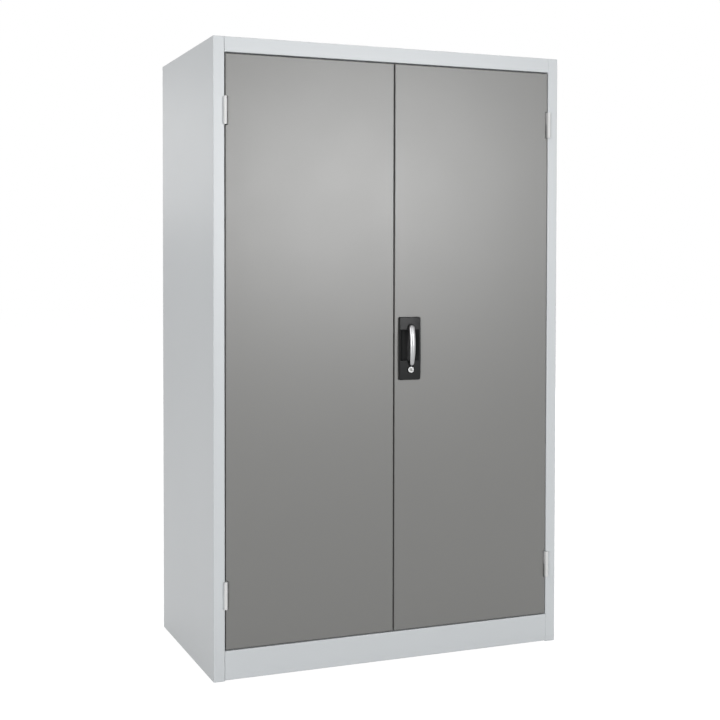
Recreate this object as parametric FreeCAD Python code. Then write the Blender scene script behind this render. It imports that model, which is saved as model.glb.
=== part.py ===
import FreeCAD, Part
import math
import os

os.makedirs("parts", exist_ok=True)

Vector = FreeCAD.Vector

# Outside of the cabinet. The lever stands out in front of the doors.
WIDTH = 1200.0
DEPTH = 600.0
HEIGHT = 1950.0
HANDLE_REACH = 30.0

# The origin is on the floor, under the middle of the outer box.
HALF = WIDTH / 2
FRONT = HANDLE_REACH / 2 - DEPTH / 2
REAR = FRONT + DEPTH

# Folded sheet steel: carcass, doors and drawers.
SHEET = 1.5
DOOR_SHEET = 1.2
INNER_BEND = 1.5
EDGE_ROUND = 2.0
PLUG_OUT = 1.0

# Door opening: stiles, rails, jamb depth and the stop flange that the doors close on.
STILE = 36.0
TOP_RAIL = 46.0
PLINTH = 92.0
PLINTH_LIFT = 2.0
FOOT_RETURN = 20.0
JAMB = 26.0
STOP = 12.0
REAR_RETURN = 22.0
OPENING = HALF - STILE
OPENING_TOP = HEIGHT - TOP_RAIL
STOP_FACE = FRONT + JAMB - SHEET
INSIDE = HALF - SHEET

# Top, floor and rear wall.
FLOOR = PLINTH + STOP
FLOOR_FLANGE = 24.0
LID_FLANGE = 24.0
BACK_FACE = REAR - SHEET
BACK_MIDDLE = BACK_FACE - SHEET / 2
BACK_HALF = INSIDE - INNER_BEND - 0.3
SWAGE_DEEP = 8.0
SWAGE_WIDE = 90.0
SWAGE_CENTRE = HALF / 2 - 20.0
WALL_HOLE_SPAN = 900.0
WALL_HOLE_RADIUS = 4.5
WALL_HOLE_DROP = 120.0
FOOT_PLATE = 60.0

# Doors.
DOOR_DEEP = 22.0
DOOR_FLANGE = 15.0
DOOR_SIDE_GAP = 3.0
DOOR_END_GAP = 4.0
CENTRE_GAP = 4.6
DOOR_OUTER = OPENING - DOOR_SIDE_GAP
DOOR_INNER = CENTRE_GAP / 2
DOOR_LOW = PLINTH + DOOR_END_GAP
DOOR_HIGH = OPENING_TOP - DOOR_END_GAP
DOOR_BACK = FRONT + DOOR_DEEP
DOOR_SKIN_BACK = FRONT + DOOR_SHEET
COVER_STRIP = 14.0
COVER_STRIP_END = 20.0

# Hat sections: half widths of the foot, of the ramp's root and of the crown.
DOOR_HAT = (52.0, 34.0, 28.0)
SHELF_HAT = (45.0, 27.0, 21.0)

# Butt hinges with their barrels in front of the gap.
HINGE_X = OPENING - 0.5
HINGE_Y = FRONT - 6.0
HINGE_TALL = 84.0
HINGE_CENTRES = [263.0, 1729.0]
BARREL_RADIUS = 5.7
HINGE_PIN_RADIUS = 3.0
HINGE_LEAF = 2.2
HINGE_GAP = 0.4
NOTCH_WIDE = 7.0
NOTCH_MARGIN = 2.0
RUNNING = 0.05
CLEAR = 0.3

# Handle unit on the right door: a moulded housing clamped through the skin.
HANDLE_X = 54.0
LEVER_Z = 1064.0
LOCK_Z = 931.0
HOUSING_X = 52.5
HOUSING_WIDE = 75.0
HOUSING_LOW = 898.0
HOUSING_HIGH = 1099.0
HOUSING_PROUD = 11.0
HOUSING_CORNER = 5.0
HOUSING_BEVEL = 2.0
HOUSING_BACK = FRONT + 10.0
HOUSING_FACE = FRONT - HOUSING_PROUD
BODY_WIDE = 67.0
BODY_MARGIN = 10.0
BODY_FIT = 0.5
CLAMP_WIDE = 80.0
CLAMP_SHEET = 2.0
CLAMP_MARGIN = 2.0
SCREW_RADIUS = 1.7
SCREW_LONG = 9.0
SCREW_HEAD = 3.5
SCREW_HEAD_TALL = 2.0
SCREW_HOLE = 2.5

# Finger scoop behind the lever, an arc in plan.
SCOOP_LOW = 960.0
SCOOP_HIGH = 1058.0
SCOOP_WIDE = 68.0
SCOOP_DEEP = 17.0
SCOOP_SHIFT = -1.5

# Bowed lever: half width at the head, at the bow and at the tip, and its height off the skin.
LEVER_RADIUS = 9.5
LEVER_BOW_HALF = 9.8
LEVER_TIP_HALF = 7.0
LEVER_TIP = 944.5
LEVER_HEAD_REACH = 18.0
LEVER_TIP_REACH = 21.0
LEVER_TIP_BACK = 14.5
LEVER_BOW_Z = 1008.0
LEVER_BOW_THICK = 7.5
LEVER_DOME = 14.0
LEVER_SPANS = 4
LEVER_SEAT = 0.4
LEVER_FOOT_Z = 1055.0
SPINDLE_RADIUS = 4.0
SPINDLE_FRONT = FRONT - 15.0

# Lock cylinder below the lever.
LOCK_RING_RADIUS = 9.75
LOCK_RING_PROUD = 1.6
LOCK_RING_BEVEL = 0.6
LOCK_RADIUS = 8.0
PLUG_RADIUS = 6.0
PLUG_SET_BACK = 0.4
KEYWAY = (2.0, 8.0, 12.0)
TONGUE = (8.0, 2.0, 21.0)

# Rods behind the right door, drawn by two pins on a rotor.
ROD_TRAVEL = 15.0
ROD_WIDE = 12.0
ROD_THICK = 4.0
ROD_BACK = DOOR_BACK - 3.5
ROD_FRONT = ROD_BACK - ROD_THICK
ROD_TIP_GAP = 1.2
ROTOR_BACK = ROD_FRONT - 0.5
ROTOR_THICK = 3.0
ROTOR_RADIUS = 16.0
PIN_CIRCLE = ROD_TRAVEL / math.sqrt(2)
PIN_RADIUS = 3.0
ROD_OFFSET = PIN_CIRCLE * (1 + 1 / math.sqrt(2)) / 2
ROD_PLATE_HALF = 8.0
ROD_PLATE_RISE = 9.0
ROD_SLOT_HALF = 5.4
ROD_SLOT_PLAY = 0.6
GUIDE_HALF = 10.0
GUIDE_HEIGHTS_ABOVE = [1180.0, 1510.0, 1840.0]
GUIDE_HEIGHTS_BELOW = [156.0, 500.0, 840.0]
KEEPER_MARGIN = 2.0
KEEPER_HALF_TALL = 5.0

# Magnets that hold the left door shut, and rubber buffers on the stop flanges.
CATCH_X = -48.0
CATCH_WIDE = 45.0
CATCH_TALL = 22.0
CATCH_DEEP = 8.0
CATCH_FOOT = 8.0
BUFFER_WIDE = 8.0
BUFFER_TALL = 24.0
BUFFER_HEIGHTS = [420.0, 1572.0]

# Slotted uprights, shelves and their brackets.
UPRIGHT_DEEP = 22.0
UPRIGHT_WIDE = 40.0
UPRIGHT_SHEET = 2.0
UPRIGHT_LIFT = 2.0
UPRIGHT_FACE = INSIDE - UPRIGHT_DEEP
UPRIGHT_CENTRES = [FRONT + 55.0, FRONT + 545.0]
SLOT_FIRST = 630.0
SLOT_PITCH = 50.0
SLOT_COUNT = 22
UPRIGHT_END = 70.0
SLOT_TALL = 20.0
SLOT_WIDE = 6.0
SHELF_SLOTS = [0, 6, 12, 18]
SHELF_TALL = 30.0
SHELF_HALF = UPRIGHT_FACE - 4.5
SHELF_FRONT = FRONT + 37.0
SHELF_BACK = FRONT + 583.0
SHELF_TURN_IN = 18.0
SHELF_RIB_DEEP = 22.0
SHELF_RIB_END = 22.0
BRACKET_SHEET = 2.0
BRACKET_RISE = 25.0
BRACKET_DROP = 8.0
BRACKET_LEDGE = 16.0
BRACKET_HALF = 10.0
HOOK_REACH = 6.0
HOOK_LIP = 2.5
HOOK_RISE = 9.0
HOOK_DROP = 6.0
HOOK_PLAY = 0.2

# Drawers between two cheeks, behind the doors.
DRAWER_COUNT = 3
DRAWER_FACE = 174.0
DRAWER_GAP = 3.0
DRAWER_BOTTOM = FLOOR + 4.0
DRAWER_HALF = 530.0
DRAWER_TRAY_HALF = 528.0
DRAWER_FRONT = FRONT + 33.0
DRAWER_PAN = 16.0
DRAWER_LENGTH = 506.0
DRAWER_WALL = 1.2
TRAY_LIFT = 12.0
TRAY_TALL = 128.0
CHEEK_FACE = 541.5
CHEEK_FRONT = FRONT + 37.0
CHEEK_BACK = FRONT + 563.0
PULL_TALL = 30.0
PULL_SHEET = 2.0
PULL_LIP = 13.0
PULL_OVERHANG = 4.0
SLIDE_TALL = 40.0
SLIDE_RISE = 76.0
SLIDE_INNER_TALL = 32.0
SLIDE_FIXED_LIP = 6.0
SLIDE_MOVING_LIP = 9.0
SLIDE_FRONT = 4.0
SLIDE_REAR = 20.0


def block(x, y, z):
    """Box from three (low, high) pairs."""
    low = Vector(min(x), min(y), min(z))
    return Part.makeBox(abs(x[1] - x[0]), abs(y[1] - y[0]), abs(z[1] - z[0]), low)


def span(middle, half):
    """The (low, high) pair about a middle."""
    return (middle - half, middle + half)


def rod_along(axis, radius, start, length):
    """Round bar from a start point along an axis."""
    return Part.makeCylinder(radius, length, Vector(*start), Vector(*axis))


def hole_through(x, z, radius, front, back):
    """Cutter along Y for a round hole, a little longer than the wall."""
    length = back - front + 2 * PLUG_OUT
    return rod_along((0, 1, 0), radius, (x, front - PLUG_OUT, z), length)


def mirrored(shape):
    """The same piece on the other side of the cabinet."""
    return shape.mirror(Vector(0, 0, 0), Vector(1, 0, 0))


def joined(shapes):
    """One solid from touching shapes."""
    return shapes[0].multiFuse(shapes[1:]).removeSplitter()


def left_of(direction):
    return Vector(-direction.y, direction.x, 0)


def fold_side(path, bend, shift):
    """One face of a folded sheet: straight runs joined by tangent arcs."""
    edges = []
    out = (path[1] - path[0]).normalize()
    start = path[0] + left_of(out) * shift
    for before, corner, after in zip(path, path[1:], path[2:]):
        into = (corner - before).normalize()
        out = (after - corner).normalize()
        hand = math.copysign(1, into.cross(out).z)
        setback = bend * math.tan(into.getAngle(out) / 2)
        first = corner - into * setback
        centre = first + left_of(into) * hand * bend
        begin = first + left_of(into) * shift
        end = corner + out * setback + left_of(out) * shift
        middle = centre + (corner - centre).normalize() * (bend - hand * shift)
        edges.append(Part.LineSegment(start, begin).toShape())
        edges.append(Part.Arc(begin, middle, end).toShape())
        start = end
    finish = path[-1] + left_of(out) * shift
    edges.append(Part.LineSegment(start, finish).toShape())
    return edges, finish


def sharp_side(path, shift):
    """One face of a sheet whose bends are too tight to show a radius."""
    first = left_of((path[1] - path[0]).normalize())
    last = left_of((path[-1] - path[-2]).normalize())
    side = [path[0] + first * shift]
    for before, corner, after in zip(path, path[1:], path[2:]):
        into = (corner - before).normalize()
        out = (after - corner).normalize()
        side.append(corner + (left_of(into) + left_of(out)) * (shift / (1 + into.dot(out))))
    return side + [path[-1] + last * shift]


def fold_face(points, sheet, rounded):
    """Section of a folded sheet, from the points of its middle line."""
    path = [Vector(a, b, 0) for a, b in points]
    if not rounded:
        outline = sharp_side(path, sheet / 2) + sharp_side(path, -sheet / 2)[::-1]
        return Part.Face(Part.makePolygon(outline + outline[:1]))
    bend = INNER_BEND + sheet / 2
    one, one_end = fold_side(path, bend, sheet / 2)
    two, two_end = fold_side(path, bend, -sheet / 2)
    one_start = one[0].Vertexes[0].Point
    two_start = two[0].Vertexes[0].Point
    caps = [Part.LineSegment(one_end, two_end).toShape()]
    caps.append(Part.LineSegment(one_start, two_start).toShape())
    return Part.Face(Part.Wire(Part.__sortEdges__(one + two + caps)))


def upright_fold(points, sheet, low, high, rounded=False):
    """Folded sheet with upright bends, from (x, y) points."""
    solid = fold_face(points, sheet, rounded).extrude(Vector(0, 0, high - low))
    solid.translate(Vector(0, 0, low))
    return solid


def level_fold(points, sheet, left, right, rounded=False):
    """Folded sheet with level bends along X, from (y, z) points."""
    solid = fold_face(points, sheet, rounded).extrude(Vector(0, 0, right - left))
    solid.rotate(Vector(0, 0, 0), Vector(1, 1, 1), 120)
    solid.translate(Vector(left, 0, 0))
    return solid


def deep_fold(points, sheet, front, back):
    """Folded sheet with level bends along Y, from (x, z) points."""
    solid = fold_face(points, sheet, False).extrude(Vector(0, 0, back - front))
    solid.rotate(Vector(0, 0, 0), Vector(1, 0, 0), 90)
    solid.translate(Vector(0, back, 0))
    return solid


def hat_points(centre, foot, crown, half_widths):
    """Middle line of a hat section: two feet, two ramps and a crown."""
    foot_half, root_half, crown_half = half_widths
    left = [(centre - foot_half, foot), (centre - root_half, foot), (centre - crown_half, crown)]
    right = [(2 * centre - a, b) for a, b in reversed(left)]
    return left + right


def edges_within(shape, test):
    """Edges with every end passing a test."""
    return [e for e in shape.Edges if all(test(v.Point) for v in e.Vertexes)]


# Carcass


def side_panel():
    """Left side: rear return, skin, stile, jamb and stop flange, one sheet."""
    skin = -HALF + SHEET / 2
    front = FRONT + SHEET / 2
    jamb = -OPENING - SHEET / 2
    stop = STOP_FACE + SHEET / 2
    rear = REAR - SHEET / 2
    path = [(-HALF + REAR_RETURN, rear), (skin, rear), (skin, front)]
    path += [(jamb, front), (jamb, stop), (-OPENING + STOP, stop)]
    panel = upright_fold(path, SHEET, 0, HEIGHT, rounded=True)
    over_jamb = (-OPENING - SHEET - INNER_BEND, -OPENING + STOP + PLUG_OUT)
    above = (OPENING_TOP + SHEET, HEIGHT + PLUG_OUT)
    return panel.cut(block(over_jamb, (FRONT + SHEET, 0), above))


def keeper_slot(x, z):
    """Slot in the frame that a rod end is thrown into."""
    deep = (ROD_FRONT - KEEPER_MARGIN, ROD_BACK + KEEPER_MARGIN)
    return block(span(x, ROD_WIDE / 2 + KEEPER_MARGIN), deep, span(z, KEEPER_HALF_TALL))


def notched_ends(rail):
    """Rail whose ends are notched round the stop flanges of the side panels."""
    for end in (-1, 1):
        x = (end * (OPENING - STOP), end * (OPENING + PLUG_OUT))
        rail = rail.cut(block(x, (STOP_FACE - INNER_BEND, REAR), (0, HEIGHT)))
    return rail


def top_rail():
    """Front rail over the doors, with its jamb and stop flange folded down."""
    front = FRONT + SHEET / 2
    stop = STOP_FACE + SHEET / 2
    jamb = OPENING_TOP + SHEET / 2
    path = [(stop, OPENING_TOP - STOP), (stop, jamb), (front, jamb), (front, HEIGHT)]
    rail = level_fold(path, SHEET, -OPENING, OPENING, rounded=True)
    rail = rail.cut(keeper_slot(HANDLE_X - ROD_OFFSET, OPENING_TOP))
    return notched_ends(rail)


def plinth_rail():
    """Front rail under the doors: foot return, face, jamb and stop flange."""
    front = FRONT + SHEET / 2
    stop = STOP_FACE + SHEET / 2
    foot = PLINTH_LIFT + SHEET / 2
    jamb = PLINTH - SHEET / 2
    path = [(FRONT + FOOT_RETURN, foot), (front, foot), (front, jamb), (stop, jamb), (stop, FLOOR)]
    rail = level_fold(path, SHEET, -OPENING, OPENING, rounded=True)
    rail = rail.cut(keeper_slot(HANDLE_X + ROD_OFFSET, PLINTH))
    return notched_ends(rail)


def lid():
    """Top, folded down on four sides."""
    x = (-INSIDE, INSIDE)
    y = (FRONT + SHEET, BACK_FACE)
    z = (HEIGHT - LID_FLANGE, HEIGHT)
    outer = block(x, y, z)
    rims = edges_within(outer, lambda p: p.z > HEIGHT - 1)
    outer = outer.makeFillet(EDGE_ROUND, rims)
    inner_x = (-INSIDE + SHEET, INSIDE - SHEET)
    inner_y = (FRONT + 2 * SHEET, BACK_FACE - SHEET)
    return outer.cut(block(inner_x, inner_y, (z[0] - PLUG_OUT, HEIGHT - SHEET)))


def floor_panel():
    """Cabinet floor, folded down at front and rear."""
    front = FRONT + JAMB + SHEET / 2
    top = FLOOR - SHEET / 2
    edge = FLOOR - FLOOR_FLANGE
    path = [(front, edge), (front, top), (BACK_MIDDLE, top), (BACK_MIDDLE, edge)]
    return level_fold(path, SHEET, -INSIDE, INSIDE)


def rear_plinth():
    """Rear rail under the floor, with a foot return."""
    foot = PLINTH_LIFT + SHEET / 2
    edge = FLOOR - FLOOR_FLANGE
    path = [(BACK_FACE - FOOT_RETURN, foot), (BACK_MIDDLE, foot), (BACK_MIDDLE, edge)]
    return level_fold(path, SHEET, -INSIDE, INSIDE)


def between_walls(piece, walls):
    """Piece trimmed to the inside bends of the two side panels."""
    return piece.cut(walls)


def back_panel():
    """Rear wall with two upright swages pressed inwards, and wall fixing holes."""
    path = [(-BACK_HALF, BACK_MIDDLE)]
    pressed = BACK_MIDDLE - SWAGE_DEEP
    for centre in (-SWAGE_CENTRE, SWAGE_CENTRE):
        low, high = span(centre, SWAGE_WIDE / 2)
        path += [(low - SWAGE_DEEP, BACK_MIDDLE), (low, pressed)]
        path += [(high, pressed), (high + SWAGE_DEEP, BACK_MIDDLE)]
    path.append((BACK_HALF, BACK_MIDDLE))
    panel = upright_fold(path, SHEET, FLOOR, HEIGHT - LID_FLANGE)
    for x in (-WALL_HOLE_SPAN / 2, WALL_HOLE_SPAN / 2):
        hole = hole_through(x, HEIGHT - WALL_HOLE_DROP, WALL_HOLE_RADIUS, BACK_FACE - SHEET, BACK_FACE)
        panel = panel.cut(hole)
    return panel


def foot_plates():
    """Four welded corner plates that stand on the floor."""
    plates = []
    for y, turn in ((FRONT + JAMB + 4, 1), (BACK_FACE - 4, -1)):
        near = y + turn * FOOT_PLATE / 2
        far = y + turn * FOOT_PLATE
        corner = -INSIDE + FOOT_PLATE
        points = [(-INSIDE, y), (corner, y), (corner, near), (corner - FOOT_PLATE / 2, far)]
        points += [(-INSIDE, far), (-INSIDE, y)]
        outline = Part.makePolygon([Vector(a, b, 0) for a, b in points])
        plate = Part.Face(outline).extrude(Vector(0, 0, PLINTH_LIFT))
        plates += [plate, mirrored(plate)]
    return Part.makeCompound(plates)


# Uprights and shelves


def slot_height(number):
    return SLOT_FIRST + number * SLOT_PITCH


def upright(y):
    """Left slotted upright: a channel welded to the side wall."""
    face = -UPRIGHT_FACE - UPRIGHT_SHEET / 2
    near, far = span(y, (UPRIGHT_WIDE - UPRIGHT_SHEET) / 2)
    path = [(-INSIDE, near), (face, near), (face, far), (-INSIDE, far)]
    channel = upright_fold(path, UPRIGHT_SHEET, FLOOR + UPRIGHT_LIFT, HEIGHT - UPRIGHT_END)
    slots = []
    for number in range(SLOT_COUNT):
        low = slot_height(number)
        tall = (low, low + SLOT_TALL)
        slots.append(block(span(face, UPRIGHT_SHEET), span(y, SLOT_WIDE / 2), tall))
    return channel.cut(Part.makeCompound(slots))


def shelf_top(number):
    return slot_height(number) + BRACKET_RISE + SHELF_TALL


def shelf(number):
    """Adjustable shelf: edges folded down and turned in underneath, ribbed across."""
    high = shelf_top(number)
    low = high - SHELF_TALL
    x = (-SHELF_HALF, SHELF_HALF)
    y = (SHELF_FRONT, SHELF_BACK)
    outer = block(x, y, (low, high))
    outer = outer.makeFillet(EDGE_ROUND, edges_within(outer, lambda p: p.z > high - 1))
    room = [(a + SHEET, b - SHEET) for a, b in (x, y, (low, high))]
    window = [(a + SHELF_TURN_IN, b - SHELF_TURN_IN) for a, b in (x, y)]
    window.append((low - PLUG_OUT, low + SHEET + PLUG_OUT))
    return joined([outer.cut(block(*room)).cut(block(*window)), shelf_rib(number)])


def shelf_rib(number):
    """Hat section welded under the middle of a shelf."""
    under = shelf_top(number) - SHEET
    centre = (SHELF_FRONT + SHELF_BACK) / 2
    crown = under - SHELF_RIB_DEEP + SHEET / 2
    path = hat_points(centre, under - SHEET / 2, crown, SHELF_HAT)
    return level_fold(path, SHEET, -SHELF_HALF + SHELF_RIB_END, SHELF_HALF - SHELF_RIB_END)


def shelf_bracket(number, y):
    """Left bracket: a hook in the slot, a web and a ledge under the shelf."""
    low = slot_height(number)
    web = -UPRIGHT_FACE + BRACKET_SHEET / 2
    ledge = low + BRACKET_RISE - BRACKET_SHEET / 2
    path = [(web, low - BRACKET_DROP), (web, ledge), (web + BRACKET_LEDGE, ledge)]
    plate = deep_fold(path, BRACKET_SHEET, *span(y, BRACKET_HALF))
    wide = span(y, SLOT_WIDE / 2 - HOOK_PLAY)
    tip = web - HOOK_REACH
    tongue = block((tip, web), wide, (low + CLEAR, low + HOOK_RISE))
    lip = block((tip, tip + HOOK_LIP), wide, (low - HOOK_DROP, low + HOOK_RISE))
    return joined([plate, tongue, lip])


def shelf_brackets():
    """Four brackets to each shelf."""
    brackets = []
    for number in SHELF_SLOTS:
        for y in UPRIGHT_CENTRES:
            bracket = shelf_bracket(number, y)
            brackets += [bracket, mirrored(bracket)]
    return Part.makeCompound(brackets)


# Drawers


def drawer_low(number):
    return DRAWER_BOTTOM + number * (DRAWER_FACE + DRAWER_GAP)


def drawer_cheek():
    """Left cheek that carries the drawer slides, flanged to the uprights."""
    face = -CHEEK_FACE - SHEET / 2
    front = CHEEK_FRONT + SHEET / 2
    back = CHEEK_BACK - SHEET / 2
    path = [(-UPRIGHT_FACE, front), (face, front), (face, back), (-UPRIGHT_FACE, back)]
    return upright_fold(path, SHEET, FLOOR, drawer_low(DRAWER_COUNT))


def drawer_tray(number):
    """Drawer body, open at the top."""
    low = drawer_low(number) + TRAY_LIFT
    front = DRAWER_FRONT + DRAWER_PAN
    x = (-DRAWER_TRAY_HALF, DRAWER_TRAY_HALF)
    y = (front, front + DRAWER_LENGTH)
    inner_x = (x[0] + DRAWER_WALL, x[1] - DRAWER_WALL)
    inner_y = (y[0] + DRAWER_WALL, y[1] - DRAWER_WALL)
    inner = block(inner_x, inner_y, (low + DRAWER_WALL, low + TRAY_TALL + PLUG_OUT))
    return block(x, y, (low, low + TRAY_TALL)).cut(inner)


def drawer_front(number):
    """Folded front pan below the pull."""
    low = drawer_low(number)
    high = low + DRAWER_FACE - PULL_TALL
    x = (-DRAWER_HALF, DRAWER_HALF)
    y = (DRAWER_FRONT, DRAWER_FRONT + DRAWER_PAN)
    outer = block(x, y, (low, high))
    rims = edges_within(outer, lambda p: p.y < DRAWER_FRONT + 1)
    outer = outer.makeFillet(EDGE_ROUND, rims)
    inner_x = (x[0] + DRAWER_WALL, x[1] - DRAWER_WALL)
    inner_z = (low + DRAWER_WALL, high - DRAWER_WALL)
    return outer.cut(block(inner_x, (y[0] + DRAWER_WALL, y[1] + PLUG_OUT), inner_z))


def drawer_pull(number):
    """Extruded grip along the top of the front, open below its lip."""
    top = drawer_low(number) + DRAWER_FACE - PULL_SHEET / 2
    base = top - PULL_TALL + PULL_SHEET
    front = DRAWER_FRONT + PULL_SHEET / 2
    back = DRAWER_FRONT + DRAWER_PAN - PULL_SHEET / 2
    lip = front - PULL_OVERHANG
    path = [(front + PULL_SHEET, base), (back, base), (back, top), (lip, top), (lip, top - PULL_LIP)]
    return level_fold(path, PULL_SHEET, -DRAWER_HALF, DRAWER_HALF)


def drawer_slides(web, lip, tall):
    """One slide channel on each side of every drawer, from its web to its lips."""
    channels = []
    for number in range(DRAWER_COUNT):
        low, high = span(drawer_low(number) + SLIDE_RISE, tall / 2)
        path = [(lip, high), (web, high), (web, low), (lip, low)]
        front = DRAWER_FRONT + DRAWER_PAN + SLIDE_FRONT
        channel = deep_fold(path, DRAWER_WALL, front, CHEEK_BACK - SLIDE_REAR)
        channels += [channel, mirrored(channel)]
    return Part.makeCompound(channels)


def fixed_slides():
    web = -CHEEK_FACE + DRAWER_WALL / 2
    return drawer_slides(web, -DRAWER_TRAY_HALF - SLIDE_FIXED_LIP, SLIDE_TALL)


def moving_slides():
    web = -DRAWER_TRAY_HALF - DRAWER_WALL / 2
    return drawer_slides(web, -DRAWER_TRAY_HALF - SLIDE_MOVING_LIP, SLIDE_INNER_TALL)


# Doors


def hinge_notches():
    """Room in the outer edge of the left door for its two hinges."""
    notches = []
    for centre in HINGE_CENTRES:
        x = (-DOOR_OUTER - PLUG_OUT, -DOOR_OUTER + NOTCH_WIDE)
        y = (FRONT - PLUG_OUT, DOOR_BACK - DOOR_SHEET)
        notches.append(block(x, y, span(centre, HINGE_TALL / 2 + NOTCH_MARGIN)))
    return Part.makeCompound(notches)


def left_door_pan():
    """Door pan: skin, folded edges and inner flanges, notched for its hinges."""
    x = (-DOOR_OUTER, -DOOR_INNER)
    z = (DOOR_LOW, DOOR_HIGH)
    outer = block(x, (FRONT, DOOR_BACK), z)
    outer = outer.makeFillet(EDGE_ROUND, edges_within(outer, lambda p: p.y < FRONT + 1))
    room_x, room_z = [(a + DOOR_SHEET, b - DOOR_SHEET) for a, b in (x, z)]
    room = block(room_x, (DOOR_SKIN_BACK, DOOR_BACK - DOOR_SHEET), room_z)
    window_x, window_z = [(a + DOOR_FLANGE, b - DOOR_FLANGE) for a, b in (x, z)]
    window = block(window_x, (DOOR_BACK - 2 * DOOR_SHEET, DOOR_BACK + PLUG_OUT), window_z)
    return outer.cut(room).cut(window).cut(hinge_notches())


def rod_passage(x, z):
    """Hole in a folded door edge for a rod."""
    deep = (ROD_FRONT - BODY_FIT, ROD_BACK + BODY_FIT)
    return block(span(x, ROD_WIDE / 2 + BODY_FIT), deep, span(z, 2 * DOOR_SHEET))


def body_cutter(front, back):
    """Room for the housing's body and screws through the door skin or the clamping frame."""
    y = (front - PLUG_OUT, back + PLUG_OUT)
    x = span(HOUSING_X, BODY_WIDE / 2 + BODY_FIT)
    z = (HOUSING_LOW + BODY_MARGIN - BODY_FIT, HOUSING_HIGH - BODY_MARGIN + BODY_FIT)
    slots_z = (HOUSING_LOW + SCREW_HOLE, HOUSING_HIGH - SCREW_HOLE)
    return joined([block(x, y, z), block(span(HOUSING_X, SCREW_HOLE), y, slots_z)])


def right_door_pan():
    """Mirror of the left pan, pierced for the handle unit and the rods."""
    pan = mirrored(left_door_pan()).cut(body_cutter(FRONT, DOOR_SKIN_BACK))
    pan = pan.cut(rod_passage(HANDLE_X - ROD_OFFSET, DOOR_HIGH))
    return pan.cut(rod_passage(HANDLE_X + ROD_OFFSET, DOOR_LOW))


def door_stiffener():
    """Hat section down the middle of the left door."""
    centre = -(DOOR_OUTER + DOOR_INNER) / 2
    foot = DOOR_SKIN_BACK + DOOR_SHEET / 2
    crown = DOOR_BACK - DOOR_SHEET / 2
    path = hat_points(centre, foot, crown, DOOR_HAT)
    end = DOOR_FLANGE + 4
    return upright_fold(path, DOOR_SHEET, DOOR_LOW + end, DOOR_HIGH - end)


def cover_strip():
    """Strip on the back of the left door that closes the centre gap from inside."""
    x = (-DOOR_INNER - COVER_STRIP, -BODY_FIT)
    z = (DOOR_LOW + COVER_STRIP_END, DOOR_HIGH - COVER_STRIP_END)
    return block(x, (DOOR_BACK, DOOR_BACK + DOOR_SHEET), z)


# Hinges


def hinge_low(centre):
    return centre - HINGE_TALL / 2


def half_hinge_tall():
    return HINGE_TALL / 2 - HINGE_GAP / 2


def hinge_barrel(low, bore):
    """Left barrel about the hinge line, with its bore."""
    start = (-HINGE_X, HINGE_Y, low)
    barrel = rod_along((0, 0, 1), BARREL_RADIUS, start, half_hinge_tall())
    return barrel, rod_along((0, 0, 1), bore, start, half_hinge_tall())


def hinge_frame_half(centre):
    """Lower barrel with the leaf welded to the stile's jamb."""
    low = hinge_low(centre)
    barrel, bore = hinge_barrel(low, HINGE_PIN_RADIUS)
    x = (-OPENING, -OPENING + HINGE_LEAF)
    leaf = block(x, (HINGE_Y, STOP_FACE - INNER_BEND), (low, low + half_hinge_tall()))
    return joined([barrel, leaf]).cut(bore)


def hinge_door_half(centre):
    """Upper barrel with the leaf that turns in behind the door's edge."""
    low = centre + HINGE_GAP / 2
    barrel, bore = hinge_barrel(low, HINGE_PIN_RADIUS + RUNNING)
    near = -HINGE_X + BARREL_RADIUS - HINGE_LEAF / 2
    back = DOOR_BACK - DOOR_SHEET - HINGE_LEAF / 2
    path = [(near, HINGE_Y), (near, back), (-DOOR_OUTER + DOOR_FLANGE - 1, back)]
    leaf = upright_fold(path, HINGE_LEAF, low, low + half_hinge_tall())
    return joined([barrel, leaf]).cut(bore)


def hinge_pins():
    """Four pins, held by the frame halves."""
    pins = []
    for centre in HINGE_CENTRES:
        start = (-HINGE_X, HINGE_Y, hinge_low(centre))
        pin = rod_along((0, 0, 1), HINGE_PIN_RADIUS, start, HINGE_TALL)
        pins += [pin, mirrored(pin)]
    return Part.makeCompound(pins)


# Handle unit


def handle_screw_places():
    """Two screws, above and below the housing's body."""
    rise = BODY_MARGIN / 2
    return [(HOUSING_X, HOUSING_LOW + rise), (HOUSING_X, HOUSING_HIGH - rise)]


def handle_housing():
    """Moulded housing: bevelled front plate, body through the door, finger scoop."""
    x = span(HOUSING_X, HOUSING_WIDE / 2)
    plate = block(x, (HOUSING_FACE, FRONT), (HOUSING_LOW, HOUSING_HIGH))
    corners = [e for e in plate.Edges if abs(e.Vertexes[0].Y - e.Vertexes[1].Y) > 1]
    plate = plate.makeFillet(HOUSING_CORNER, corners)
    rim = [e for e in plate.Edges if e.BoundBox.YMax < HOUSING_FACE + 0.1]
    plate = plate.makeChamfer(HOUSING_BEVEL, rim)
    z = (HOUSING_LOW + BODY_MARGIN, HOUSING_HIGH - BODY_MARGIN)
    body = block(span(HOUSING_X, BODY_WIDE / 2), (FRONT - 1, HOUSING_BACK), z)
    housing = joined([plate, body]).cut(finger_scoop())
    for x, z in handle_screw_places():
        start = (x, FRONT + PLUG_OUT, z)
        housing = housing.cut(rod_along((0, -1, 0), SCREW_RADIUS, start, SCREW_LONG - 1))
    spindle_bore = SPINDLE_RADIUS + RUNNING
    housing = housing.cut(hole_through(HANDLE_X, LEVER_Z, spindle_bore, HOUSING_FACE, HOUSING_BACK))
    return housing.cut(hole_through(HANDLE_X, LOCK_Z, LOCK_RADIUS, HOUSING_FACE, HOUSING_BACK))


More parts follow.
